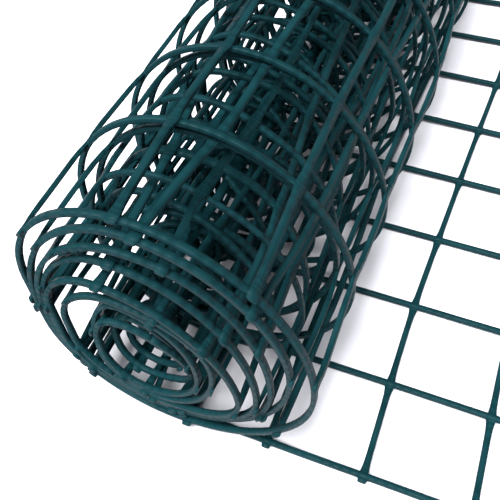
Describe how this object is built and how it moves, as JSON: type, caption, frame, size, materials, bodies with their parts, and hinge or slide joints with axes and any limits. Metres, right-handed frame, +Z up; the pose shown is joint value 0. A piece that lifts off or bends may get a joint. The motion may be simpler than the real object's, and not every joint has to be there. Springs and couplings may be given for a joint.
{
  "type": "plastic mesh fencing roll",
  "caption": "Partly unrolled roll of square plastic garden mesh, loosely wound, with its free end lying flat on the floor.",
  "frame": {"origin": "centre of the bounding box at floor level, where the net rests", "axes": "+X along the unrolled run, away from the roll; +Y along the roll; +Z up"},
  "size_m": [0.6116, 0.512, 0.149],
  "materials": {
    "net_green": "dark green extruded polyethylene, semi-gloss"
  },
  "bodies": {
    "root": {"flat_net": "net_green", "outer_turn": "net_green", "middle_turns": "net_green", "inner_turns": "net_green"}
  },
  "joints": []
}
